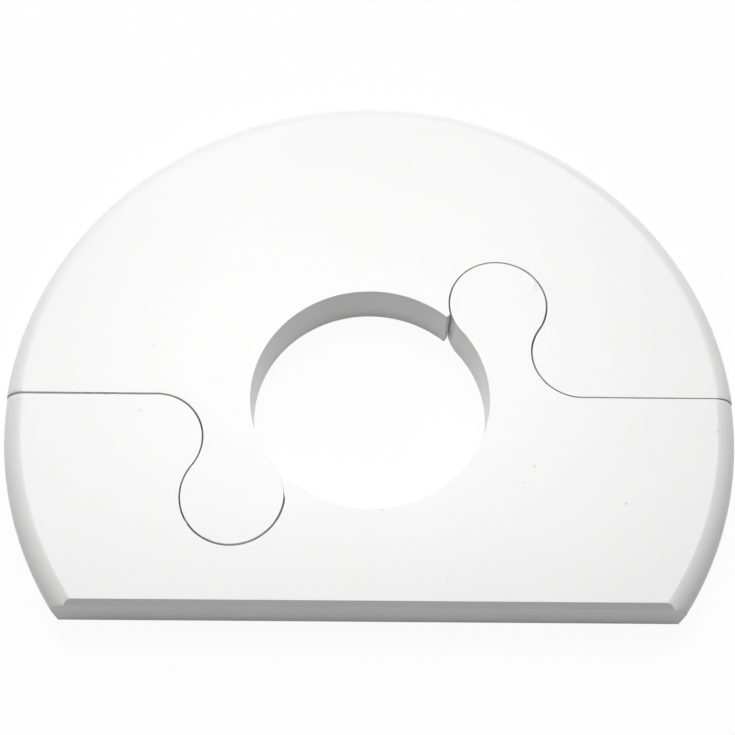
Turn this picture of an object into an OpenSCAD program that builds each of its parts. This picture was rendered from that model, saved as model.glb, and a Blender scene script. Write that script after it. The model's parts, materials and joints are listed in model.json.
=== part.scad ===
// Two-piece pipe rosette for a heating pipe that stands close to a wall.
// The disc is cut straight on its wall side and split across the bore. Each half has a round lobe that
// drops into a round socket of the other, so the halves come apart only along the pipe.
// The origin is on the bore's axis in the underside. Z runs up the pipe and Y points away from the wall.

/* [Plate] */
// Diameter of the round rim
plate_d = 70.5; // [66:0.5:110]
// Thickness of the plate
plate_t = 5.2; // [4:0.1:10]
// Radius that rounds the upper edge of the rim
rim_r = 2.1; // [0.5:0.1:3.5]
// Distance from the bore's axis to the wall side
wall_side = 20.6; // [19:0.1:30]

/* [Pipe] */
// Outside diameter of the pipe
pipe_d = 22; // [12:1:28]
// Play between the pipe and the bore, all round
pipe_play = 0.5; // [0.2:0.05:1]

/* [Jigsaw joint] */
// Radius of the lobes
lobe_r = 4.85; // [4:0.05:5.4]
// Radius of the curves that lead from the split into the lobes
curve_r = 4.65; // [4:0.05:5.4]
// Angle between the split and the line from the bore's axis to a lobe's centre
lobe_angle = 38.7; // [36:0.1:42]
// Gap between the two halves
joint_gap = 0.16; // [0.05:0.01:0.3]
// Width of the blunt tip between a socket and the bore
tip_w = 0.5; // [0.3:0.05:1]

/* [Bevel of the wall side] */
// Width of the bevel, seen from above
bevel_w = 0.55; // [0.2:0.05:1]
// Height of the bevel
bevel_h = 0.25; // [0.1:0.05:1]

/* [Hidden] */
$fn = 96;

plate_r = plate_d / 2;
bore_r = pipe_d / 2 + pipe_play;
half_gap = joint_gap / 2;

// A lobe touches the bore, and its socket is wider by the gap. Arcs that touch overlap by bite.
tongue_r = lobe_r - half_gap;
socket_r = lobe_r + half_gap;
bite = 0.002;
lobe_reach = bore_r + tongue_r - bite;
lobe_c = lobe_reach * [cos(lobe_angle), sin(lobe_angle)];

// The curve beside a lobe touches both the lobe and the split, so there is no corner.
curve_reach = lobe_r + curve_r - bite;
curve_c = [lobe_c.x + sqrt(pow(curve_reach, 2) - pow(lobe_c.y - curve_r, 2)), curve_r];

// The tip between socket and bore ends blunt where it is tip_w wide (law of cosines).
tip_reach = bore_r + tip_w;
tip_cos = (pow(tip_reach, 2) + pow(lobe_reach, 2) - pow(socket_r, 2)) / (2 * tip_reach * lobe_reach);
tip_angle = lobe_angle + acos(tip_cos);
past_tip = (tip_reach + tip_w) * [cos(tip_angle), sin(tip_angle)];

// Overshoot of the shapes that are cut away
over = 1;

// Lobe and neck above the split, made wider all round by grow
module tongue_2d(grow) {
    difference() {
        polygon([[0, -lobe_r], [curve_c.x, -lobe_r], curve_c, lobe_c, [0, 0]]);
        translate(curve_c) circle(r = curve_r - grow);
    }
    translate(lobe_c) circle(r = lobe_r + grow);
}

// Plan of the half on the +Y side of the split, with room for the other half's lobe
module half_2d() {
    difference() {
        union() {
            translate([-plate_r - over, half_gap]) square([2 * (plate_r + over), plate_r + over]);
            rotate(180) tongue_2d(-half_gap);
        }
        tongue_2d(half_gap);
        polygon([[0, 0], lobe_c, past_tip]);
        circle(r = bore_r);
    }
}

// Section of the whole disc from its axis to its rounded rim
module rim_profile() {
    square([plate_r, plate_t - rim_r]);
    square([plate_r - rim_r, plate_t]);
    translate([plate_r - rim_r, plate_t - rim_r]) intersection() {
        circle(r = rim_r);
        square(rim_r);
    }
}

// Disc with the straight wall side and its bevelled upper edge
module disc() {
    difference() {
        rotate_extrude() rim_profile();
        translate([-plate_r - over, -plate_r - over, -over])
            cube([2 * (plate_r + over), plate_r + over - wall_side, plate_t + 2 * over]);
        translate([-plate_r - over, 0, 0]) rotate([90, 0, 90]) linear_extrude(2 * (plate_r + over))
            polygon([
                [-wall_side - bevel_w, plate_t - 2 * bevel_h],
                [-wall_side + bevel_w, plate_t],
                [-wall_side + 2 * bevel_w, plate_t + bevel_h],
                [-wall_side - bevel_w, plate_t + bevel_h]
            ]);
    }
}

module front_half() {
    color("white") intersection() {
        disc();
        translate([0, 0, -over]) linear_extrude(plate_t + 2 * over) half_2d();
    }
}

module wall_side_half() {
    color("whitesmoke") intersection() {
        disc();
        translate([0, 0, -over]) linear_extrude(plate_t + 2 * over) rotate(180) half_2d();
    }
}

wall_side_half();
front_half();
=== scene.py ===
import json
import math

import bmesh
import bpy
from mathutils import Matrix, Vector


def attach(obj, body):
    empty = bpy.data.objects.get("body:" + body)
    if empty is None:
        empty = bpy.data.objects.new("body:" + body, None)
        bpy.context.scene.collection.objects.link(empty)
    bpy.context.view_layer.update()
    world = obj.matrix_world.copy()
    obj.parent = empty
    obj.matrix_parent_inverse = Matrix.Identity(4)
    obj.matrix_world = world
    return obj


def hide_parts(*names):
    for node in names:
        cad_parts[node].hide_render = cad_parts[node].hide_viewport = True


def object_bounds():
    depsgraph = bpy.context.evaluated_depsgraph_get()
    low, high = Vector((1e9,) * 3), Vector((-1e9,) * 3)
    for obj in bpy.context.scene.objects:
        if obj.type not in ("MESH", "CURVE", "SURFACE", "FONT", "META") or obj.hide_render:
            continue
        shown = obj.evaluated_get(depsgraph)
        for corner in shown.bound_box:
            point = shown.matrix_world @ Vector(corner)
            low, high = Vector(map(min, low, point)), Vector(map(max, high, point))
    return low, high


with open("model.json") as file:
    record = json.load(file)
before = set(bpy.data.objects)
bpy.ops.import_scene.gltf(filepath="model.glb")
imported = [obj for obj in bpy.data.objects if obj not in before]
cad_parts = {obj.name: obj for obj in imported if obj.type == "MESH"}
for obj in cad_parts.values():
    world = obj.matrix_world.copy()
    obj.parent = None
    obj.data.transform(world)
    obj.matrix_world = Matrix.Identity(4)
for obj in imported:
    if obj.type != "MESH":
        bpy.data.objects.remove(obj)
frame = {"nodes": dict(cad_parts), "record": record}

# The pipe rosette: two moulded halves that hook into each other round a heating pipe.
# Z runs up the pipe, Y points away from the wall, and the wall side is cut straight at -Y.

cadLow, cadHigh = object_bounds()
print("frame loaded:", ", ".join(sorted(frame["nodes"])))

mm = 0.001
scene = bpy.context.scene


def newGroup(name, inputs, outputs):
    group = bpy.data.node_groups.new(name, "ShaderNodeTree")
    for label, kind, value in inputs:
        socket = group.interface.new_socket(label, in_out="INPUT", socket_type=kind)
        socket.default_value = value
    for label, kind in outputs:
        group.interface.new_socket(label, in_out="OUTPUT", socket_type=kind)
    return group, group.nodes.new("NodeGroupInput"), group.nodes.new("NodeGroupOutput")


# Sets a socket to a number, or links it to another node's output
def feed(tree, socket, value):
    if isinstance(value, (int, float)):
        socket.default_value = value
    else:
        tree.links.new(value, socket)


def mathNode(tree, operation, first, second):
    node = tree.nodes.new("ShaderNodeMath")
    node.operation = operation
    feed(tree, node.inputs[0], first)
    feed(tree, node.inputs[1], second)
    return node.outputs["Value"]


def vectorNode(tree, operation, first, second):
    node = tree.nodes.new("ShaderNodeVectorMath")
    node.operation = operation
    tree.links.new(first, node.inputs[0])
    tree.links.new(second, node.inputs[1])
    return node.outputs["Vector"]


def noiseNode(tree, vector, scale, detail, roughness):
    node = tree.nodes.new("ShaderNodeTexNoise")
    node.inputs["Detail"].default_value = detail
    node.inputs["Roughness"].default_value = roughness
    tree.links.new(vector, node.inputs["Vector"])
    feed(tree, node.inputs["Scale"], scale)
    return node.outputs["Fac"]


# Faint drawn-out streaks and a soft mottle, as moulded and sawn plastic has them
def makeGrainGroup():
    group, given, result = newGroup(
        "plasticGrain",
        [
            ("Vector", "NodeSocketVector", (0.0, 0.0, 0.0)),
            ("Stretch", "NodeSocketVector", (1.0, 1.0, 1.0)),
            ("Streak Scale", "NodeSocketFloat", 900.0),
            ("Mottle Scale", "NodeSocketFloat", 120.0),
            ("Pale", "NodeSocketColor", (0.9, 0.9, 0.9, 1.0)),
            ("Deep", "NodeSocketColor", (0.85, 0.85, 0.85, 1.0)),
            ("Smoothest", "NodeSocketFloat", 0.35),
            ("Roughest", "NodeSocketFloat", 0.45),
        ],
        [
            ("Color", "NodeSocketColor"),
            ("Roughness", "NodeSocketFloat"),
            ("Height", "NodeSocketFloat"),
        ],
    )
    drawn = vectorNode(group, "MULTIPLY", given.outputs["Vector"], given.outputs["Stretch"])
    streak = noiseNode(group, drawn, given.outputs["Streak Scale"], 4.0, 0.6)
    mottle = noiseNode(group, given.outputs["Vector"], given.outputs["Mottle Scale"], 2.0, 0.5)
    both = mathNode(group, "MULTIPLY", mathNode(group, "ADD", streak, mottle), 0.5)

    contrast = group.nodes.new("ShaderNodeMapRange")
    contrast.inputs["From Min"].default_value = 0.3
    contrast.inputs["From Max"].default_value = 0.7
    group.links.new(both, contrast.inputs["Value"])
    tint = group.nodes.new("ShaderNodeMix")
    tint.data_type = "RGBA"
    group.links.new(contrast.outputs["Result"], tint.inputs["Factor"])
    group.links.new(given.outputs["Deep"], tint.inputs["A"])
    group.links.new(given.outputs["Pale"], tint.inputs["B"])
    group.links.new(tint.outputs["Result"], result.inputs["Color"])

    dull = group.nodes.new("ShaderNodeMapRange")
    group.links.new(streak, dull.inputs["Value"])
    group.links.new(given.outputs["Smoothest"], dull.inputs["To Min"])
    group.links.new(given.outputs["Roughest"], dull.inputs["To Max"])
    group.links.new(dull.outputs["Result"], result.inputs["Roughness"])
    group.links.new(streak, result.inputs["Height"])
    return group


# One small soft-edged mark at a place on the surface, laid over the marks before it
def makeMarkGroup():
    group, given, result = newGroup(
        "surfaceMark",
        [
            ("Vector", "NodeSocketVector", (0.0, 0.0, 0.0)),
            ("Place", "NodeSocketVector", (0.0, 0.0, 0.0)),
            ("Reach", "NodeSocketVector", (1.0, 1.0, 1.0)),
            ("Strength", "NodeSocketFloat", 0.2),
            ("Before", "NodeSocketFloat", 0.0),
        ],
        [("Mask", "NodeSocketFloat")],
    )
    offset = vectorNode(group, "SUBTRACT", given.outputs["Vector"], given.outputs["Place"])
    scaled = vectorNode(group, "DIVIDE", offset, given.outputs["Reach"])
    far = group.nodes.new("ShaderNodeVectorMath")
    far.operation = "LENGTH"
    group.links.new(scaled, far.inputs[0])
    ragged = noiseNode(group, given.outputs["Vector"], 9000.0, 2.0, 0.5)
    edge = mathNode(group, "ADD", far.outputs["Value"], mathNode(group, "SUBTRACT", ragged, 0.5))
    fade = group.nodes.new("ShaderNodeMapRange")
    fade.interpolation_type = "SMOOTHSTEP"
    fade.inputs["From Min"].default_value = 0.4
    fade.inputs["From Max"].default_value = 1.1
    fade.inputs["To Min"].default_value = 1.0
    fade.inputs["To Max"].default_value = 0.0
    group.links.new(edge, fade.inputs["Value"])
    own = mathNode(group, "MULTIPLY", fade.outputs["Result"], given.outputs["Strength"])
    group.links.new(mathNode(group, "MAXIMUM", own, given.outputs["Before"]), result.inputs["Mask"])
    return group


grainGroup = makeGrainGroup()
markGroup = makeMarkGroup()
print("node groups made")

boreMount = [mount for mount in frame["record"]["mounts"] if mount["name"] == "pipe_bore"][0]

plate = {
    "rimRadius": (cadHigh.x - cadLow.x) / 2,
    "thickness": cadHigh.z - cadLow.z,
    "wallSide": -cadLow.y,
    "bevelWidth": 0.55 * mm,
    "bevelHeight": 0.25 * mm,
    "boreRadius": boreMount["dims"]["r_mm"] * mm,
    "lobeRadius": 4.85 * mm,
    "curveRadius": 4.65 * mm,
    "lobeAngle": 38.7,
    "gap": 0.16 * mm,
    "tipWidth": 0.5 * mm,
    "rimStep": 1.0,
    "arcStep": 3.0,
    "roundSegments": 24,
    "softEdge": 0.03 * mm,
    "softSegments": 2,
    "creaseAngle": 20.0,
}

mouldedFinish = {
    "pale": (0.90, 0.90, 0.896, 1.0),
    "deep": (0.885, 0.885, 0.88, 1.0),
    "stretch": (0.12, 1.0, 1.0),
    "streakScale": 700.0,
    "mottleScale": 150.0,
    "smoothest": 0.28,
    "roughest": 0.34,
    "bumpDepth": 0.003 * mm,
    "bumpStrength": 0.5,
    "marked": True,
}

sawnFinish = {
    "pale": (0.86, 0.86, 0.855, 1.0),
    "deep": (0.83, 0.83, 0.825, 1.0),
    "stretch": (0.04, 1.0, 1.0),
    "streakScale": 1600.0,
    "mottleScale": 200.0,
    "smoothest": 0.42,
    "roughest": 0.55,
    "bumpDepth": 0.006 * mm,
    "bumpStrength": 0.6,
    "marked": False,
}

# The narrow bevel is rougher than the sawn face below it; its darker colour is painted shade for the
# dark strip along the wall side's top edge
bevelShadeFinish = {
    **sawnFinish,
    "pale": (0.58, 0.58, 0.576, 1.0),
    "deep": (0.54, 0.54, 0.536, 1.0),
    "smoothest": 0.55,
    "roughest": 0.7,
}

# One dark colour for the dirt marks and for the painted shade marks
soilAndShade = {"color": (0.28, 0.27, 0.25, 1.0), "depth": 0.3}

# Small marks on the visible face, specks of dirt and spots of painted shade: x and y of the middle,
# half width, half length, strength
marks = {
    "speckFarLeft": (-21.21, 5.31, 0.20, 0.11, 0.20),
    "speckLeft": (-21.95, -1.78, 0.24, 0.16, 0.24),
    "speckByLobe": (15.37, -7.17, 0.20, 0.16, 0.36),
    "speckBelowLobe": (14.35, -8.77, 0.16, 0.12, 0.20),
    "speckRight": (23.65, -10.75, 0.16, 0.16, 0.36),
    "scratchNear": (6.98, -17.98, 0.05, 0.22, 0.20),
    # Painted shade where the rim's roundover begins on the near side
    "paintedShadeOnRim": (32.95, -3.45, 0.16, 0.14, 0.34),
    "smearByLobe": (16.57, 12.26, 0.20, 0.62, 0.18),
    "tickAtBore": (1.08, -11.58, 0.22, 0.06, 0.45),
    # Painted shade in the gap of the left split, between the halves
    "paintedShadeInSplit": (-25.27, -0.10, 0.30, 0.10, 0.45),
}


def addMarks(tree, vector):
    before = None
    for x, y, halfWidth, halfLength, strength in marks.values():
        mark = tree.nodes.new("ShaderNodeGroup")
        mark.node_tree = markGroup
        tree.links.new(vector, mark.inputs["Vector"])
        mark.inputs["Place"].default_value = (x * mm, y * mm, plate["thickness"])
        mark.inputs["Reach"].default_value = (halfWidth * mm, halfLength * mm, soilAndShade["depth"] * mm)
        mark.inputs["Strength"].default_value = strength
        if before:
            tree.links.new(before, mark.inputs["Before"])
        before = mark.outputs["Mask"]
    return before


def makePlastic(name, finish):
    material = bpy.data.materials.new(name)
    material.use_nodes = True
    tree = material.node_tree
    shader = tree.nodes["Principled BSDF"]
    place = tree.nodes.new("ShaderNodeTexCoord").outputs["Object"]
    grain = tree.nodes.new("ShaderNodeGroup")
    grain.node_tree = grainGroup
    tree.links.new(place, grain.inputs["Vector"])
    grain.inputs["Stretch"].default_value = finish["stretch"]
    grain.inputs["Streak Scale"].default_value = finish["streakScale"]
    grain.inputs["Mottle Scale"].default_value = finish["mottleScale"]
    grain.inputs["Pale"].default_value = finish["pale"]
    grain.inputs["Deep"].default_value = finish["deep"]
    grain.inputs["Smoothest"].default_value = finish["smoothest"]
    grain.inputs["Roughest"].default_value = finish["roughest"]
    color = grain.outputs["Color"]
    if finish["marked"]:
        soiledAndShaded = tree.nodes.new("ShaderNodeMix")
        soiledAndShaded.data_type = "RGBA"
        tree.links.new(addMarks(tree, place), soiledAndShaded.inputs["Factor"])
        tree.links.new(color, soiledAndShaded.inputs["A"])
        soiledAndShaded.inputs["B"].default_value = soilAndShade["color"]
        color = soiledAndShaded.outputs["Result"]
    tree.links.new(color, shader.inputs["Base Color"])
    tree.links.new(grain.outputs["Roughness"], shader.inputs["Roughness"])
    bump = tree.nodes.new("ShaderNodeBump")
    bump.inputs["Distance"].default_value = finish["bumpDepth"]
    bump.inputs["Strength"].default_value = finish["bumpStrength"]
    tree.links.new(grain.outputs["Height"], bump.inputs["Height"])
    tree.links.new(bump.outputs["Normal"], shader.inputs["Normal"])
    shader.inputs["IOR"].default_value = 1.6
    return material


# The order here is the order of the material slots on each half
moulded, sawn, bevelled = 0, 1, 2
finishes = [
    makePlastic("mouldedWhite", mouldedFinish),
    makePlastic("sawnWhite", sawnFinish),
    makePlastic("bevelPaintedShade", bevelShadeFinish),
]
print("materials made")


def polar(radius, degrees):
    turn = math.radians(degrees)
    return Vector((radius * math.cos(turn), radius * math.sin(turn), 0))


def angleOf(vector):
    return math.degrees(math.atan2(vector.y, vector.x))


# Draws an arc from a corner, as a spun vertex, and returns the corner at its end
def runArc(bm, corner, centre, turn, step):
    made = bmesh.ops.spin(
        bm, geom=[corner], cent=centre, axis=(0, 0, 1), angle=math.radians(turn),
        steps=max(2, round(abs(turn) / step)), use_duplicate=False,
    )
    return [part for part in made["geom_last"] if isinstance(part, bmesh.types.BMVert)][0]


def runLine(bm, corner, place):
    end = bmesh.ops.extrude_vert_indiv(bm, verts=[corner])["verts"][0]
    bmesh.ops.translate(bm, verts=[end], vec=place - end.co)
    return end


# Outline of the half on the +Y side of the split, drawn counter-clockwise from the rim on the right
def drawOutline(bm):
    halfGap = plate["gap"] / 2
    tongue = plate["lobeRadius"] - halfGap
    socket = plate["lobeRadius"] + halfGap
    lobe = polar(plate["boreRadius"] + tongue, plate["lobeAngle"])
    reach = plate["lobeRadius"] + plate["curveRadius"]
    rise = lobe.y - plate["curveRadius"]
    curve = Vector((lobe.x + math.sqrt(reach**2 - rise**2), plate["curveRadius"], 0))
    lean = angleOf(curve - lobe)
    fine, rough = plate["arcStep"], plate["rimStep"]

    tipReach = plate["boreRadius"] + plate["tipWidth"]
    tipCos = (tipReach**2 + lobe.length**2 - socket**2) / (2 * tipReach * lobe.length)
    tipAngle = plate["lobeAngle"] + math.degrees(math.acos(tipCos))
    tip = polar(tipReach, tipAngle)

    start = Vector((math.sqrt(plate["rimRadius"] ** 2 - halfGap**2), halfGap, 0))
    sweep = 180 - 2 * angleOf(start)
    corner = bm.verts.new(start)
    corner = runArc(bm, corner, (0, 0, 0), sweep, rough)  # rim
    corner = runLine(bm, corner, Vector((-curve.x, halfGap, 0)))  # split on the left
    corner = runArc(bm, corner, -curve, lean - 90, fine)  # curve beside its own lobe
    corner = runArc(bm, corner, -lobe, 180 + plate["lobeAngle"] - lean, fine)  # own lobe
    corner = runArc(bm, corner, (0, 0, 0), tipAngle - 180 - plate["lobeAngle"], fine)  # bore
    corner = runLine(bm, corner, tip)  # blunt tip
    corner = runArc(bm, corner, lobe, lean - (angleOf(tip - lobe) % 360), fine)  # socket
    corner = runArc(bm, corner, curve, 90 - lean, fine)  # curve beside the other lobe
    runLine(bm, corner, start)  # split on the right


def cutAway(bm, place, outwards, slot):
    made = bmesh.ops.bisect_plane(
        bm, geom=bm.verts[:] + bm.edges[:] + bm.faces[:], dist=0.0001 * mm,
        plane_co=place, plane_no=outwards, clear_outer=True,
    )
    rim = [part for part in made["geom_cut"] if isinstance(part, bmesh.types.BMEdge)]
    face = bmesh.ops.contextual_create(bm, geom=rim)["faces"][0]
    face.material_index = slot


def buildHalf(name, half):
    thickness, wallSide = plate["thickness"], plate["wallSide"]
    bm = bmesh.new()
    drawOutline(bm)
    bmesh.ops.remove_doubles(bm, verts=bm.verts[:], dist=0.002 * mm)
    bottom = bmesh.ops.contextual_create(bm, geom=bm.edges[:])["faces"]
    raised = bmesh.ops.extrude_face_region(bm, geom=bottom)["geom"]
    top = [part for part in raised if isinstance(part, bmesh.types.BMVert)]
    bmesh.ops.translate(bm, verts=top, vec=(0, 0, thickness + half["cutterDrop"]))
    bmesh.ops.recalc_face_normals(bm, faces=bm.faces[:])

    onRim = plate["rimRadius"] - 0.01 * mm
    upperRim = [
        edge for edge in bm.edges
        if all(vert.co.z > thickness / 2 and vert.co.xy.length > onRim for vert in edge.verts)
    ]
    bmesh.ops.bevel(
        bm, geom=upperRim, offset=half["cutterRadius"], offset_type="OFFSET", affect="EDGES",
        segments=plate["roundSegments"], profile=0.5, material=-1,
    )
    if half["cutterDrop"] > 0:
        cutAway(bm, (0, 0, thickness), (0, 0, 1), moulded)
    if half["onWallSide"]:
        halfTurn = Matrix.Rotation(math.pi, 3, "Z")
        slope = Vector((0, -plate["bevelHeight"], plate["bevelWidth"])).normalized()
        bmesh.ops.rotate(bm, verts=bm.verts[:], cent=(0, 0, 0), matrix=halfTurn)
        cutAway(bm, (0, -wallSide, 0), (0, -1, 0), sawn)
        # The bevel's faces get the painted shade finish
        cutAway(bm, (0, -wallSide, thickness - plate["bevelHeight"]), slope, bevelled)
    creases = [
        edge for edge in bm.edges
        if len(edge.link_faces) == 2 and math.degrees(edge.calc_face_angle(0)) > plate["creaseAngle"]
    ]
    bmesh.ops.bevel(
        bm, geom=creases, offset=plate["softEdge"], offset_type="OFFSET", affect="EDGES",
        segments=plate["softSegments"], profile=0.5, material=-1, clamp_overlap=True,
    )
    askew = Matrix.Rotation(math.radians(half["askew"]), 3, "Z")
    bmesh.ops.rotate(bm, verts=bm.verts[:], cent=(0, 0, 0), matrix=askew)
    bmesh.ops.recalc_face_normals(bm, faces=bm.faces[:])
    for face in bm.faces:
        face.smooth = True
    mesh = bpy.data.meshes.new(name)
    bm.to_mesh(mesh)
    bm.free()
    piece = bpy.data.objects.new(name, mesh)
    scene.collection.objects.link(piece)
    for material in finishes:
        piece.data.materials.append(material)
    weighted = piece.modifiers.new("flatFacesKept", "WEIGHTED_NORMAL")
    weighted.mode = "FACE_AREA"
    weighted.weight = 100
    return piece


# The rim's cutter went a touch deeper on the wall side's half, which leaves a faint arris on its top.
# The front half lies a hair askew in its play, so the split is wider on the left than on the right.
halves = {
    "wallSideHalf": {
        "body": "wall_side_half",
        "onWallSide": True,
        "cutterRadius": 2.3 * mm,
        "cutterDrop": 0.009 * mm,
        "askew": 0.0,
    },
    "frontHalf": {
        "body": "front_half",
        "onWallSide": False,
        "cutterRadius": 1.95 * mm,
        "cutterDrop": 0.0,
        "askew": -0.07,
    },
}

for name, half in halves.items():
    piece = buildHalf(name, half)
    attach(piece, half["body"])
    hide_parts(half["body"])
    print("half built:", name, len(piece.data.polygons), "faces")

studio = {
    "floorReach": 3.0,
    "floorDrop": 0.05 * mm,
    "floorShown": (1.0, 1.0, 1.0, 1.0),
    "floorBounce": (0.85, 0.85, 0.85, 1.0),
    "floorGlow": 0.94,
}


# 1 for the rays that see the background: camera, glossy and transmission rays
def seenByEye(tree):
    path = tree.nodes.new("ShaderNodeLightPath")
    first = mathNode(tree, "MAXIMUM", path.outputs["Is Camera Ray"], path.outputs["Is Glossy Ray"])
    return mathNode(tree, "MAXIMUM", first, path.outputs["Is Transmission Ray"])


# The floor looks white but keeps the object's shadow, and only its bounce lights the object
def makeFloor():
    material = bpy.data.materials.new("paleFloor")
    material.use_nodes = True
    tree = material.node_tree
    tree.nodes.clear()
    output = tree.nodes.new("ShaderNodeOutputMaterial")
    seen = seenByEye(tree)
    tint = tree.nodes.new("ShaderNodeMix")
    tint.data_type = "RGBA"
    tree.links.new(seen, tint.inputs["Factor"])
    tint.inputs["A"].default_value = studio["floorBounce"]
    tint.inputs["B"].default_value = studio["floorShown"]
    diffuse = tree.nodes.new("ShaderNodeBsdfDiffuse")
    tree.links.new(tint.outputs["Result"], diffuse.inputs["Color"])
    glow = tree.nodes.new("ShaderNodeEmission")
    blend = tree.nodes.new("ShaderNodeMixShader")
    tree.links.new(mathNode(tree, "MULTIPLY", seen, studio["floorGlow"]), blend.inputs["Fac"])
    tree.links.new(diffuse.outputs["BSDF"], blend.inputs[1])
    tree.links.new(glow.outputs["Emission"], blend.inputs[2])
    tree.links.new(blend.outputs["Shader"], output.inputs["Surface"])

    bm = bmesh.new()
    bmesh.ops.create_grid(bm, x_segments=1, y_segments=1, size=studio["floorReach"] / 2)
    bmesh.ops.translate(bm, verts=bm.verts[:], vec=(0, 0, -studio["floorDrop"]))
    mesh = bpy.data.meshes.new("floor")
    bm.to_mesh(mesh)
    bm.free()
    floor = bpy.data.objects.new("floor", mesh)
    scene.collection.objects.link(floor)
    floor.data.materials.append(material)


# A white backdrop that gives no light of its own
def makeWorld():
    world = bpy.data.worlds.new("studioWorld")
    scene.world = world
    world.use_nodes = True
    tree = world.node_tree
    background = tree.nodes["Background"]
    background.inputs["Color"].default_value = (1, 1, 1, 1)
    tree.links.new(seenByEye(tree), background.inputs["Strength"])


makeFloor()
makeWorld()

lampForm = {"distance": 0.6, "width": 0.3, "height": 0.2}

# One large softbox behind the plate, in panels, and a weak fill from the front.
# Each has a heading (0 is behind the object, 90 on its right), a height above the floor, and a power.
softboxes = {
    "highBack": (0, 68, 0.506),
    "highLeft": (-30, 66, 0.784),
    "highRight": (30, 66, 0.664),
    "midBack": (0, 48, 0.411),
    "midLeft": (-30, 48, 0.285),
    "midRight": (30, 48, 0.252),
    "lowBack": (0, 28, 0.208),
    "lowLeft": (-35, 28, 0.311),
    "farLeft": (-60, 50, 0.24),
    "frontFill": (180, 12, 0.137),
}


def addSoftbox(name, heading, height, power):
    turn, lift = math.radians(heading), math.radians(height)
    level = math.cos(lift)
    towards = Vector((math.sin(turn) * level, math.cos(turn) * level, math.sin(lift)))
    lamp = bpy.data.lights.new(name, "AREA")
    lamp.shape = "RECTANGLE"
    lamp.size = lampForm["width"]
    lamp.size_y = lampForm["height"]
    lamp.energy = power
    holder = bpy.data.objects.new(name, lamp)
    scene.collection.objects.link(holder)
    aim = towards.to_track_quat("Z", "Y").to_matrix().to_4x4()
    holder.matrix_world = Matrix.Translation(towards * lampForm["distance"]) @ aim


for name, box in softboxes.items():
    addSoftbox(name, *box)
print("floor and lamps placed")

view = {
    "lens": 59.331,
    "target": Vector((-0.277, 3.0017, 5.2)) * mm,
    "distance": 117.544 * mm,
    "elevation": 63.5713,
    "heading": -0.8131,
    "roll": 1.2251,
}


def placeCamera():
    data = bpy.data.cameras.new("camera")
    data.lens = view["lens"]
    data.sensor_width = 36.0
    data.clip_start, data.clip_end = 0.01, 10.0
    camera = bpy.data.objects.new("camera", data)
    scene.collection.objects.link(camera)
    turn = (
        Matrix.Rotation(math.radians(view["heading"]), 4, "Z")
        @ Matrix.Rotation(math.radians(90 - view["elevation"]), 4, "X")
        @ Matrix.Rotation(math.radians(view["roll"]), 4, "Z")
    )
    back = turn.to_3x3() @ Vector((0, 0, 1))
    camera.matrix_world = Matrix.Translation(view["target"] + back * view["distance"]) @ turn
    scene.camera = camera


placeCamera()
scene.view_settings.view_transform = "Standard"
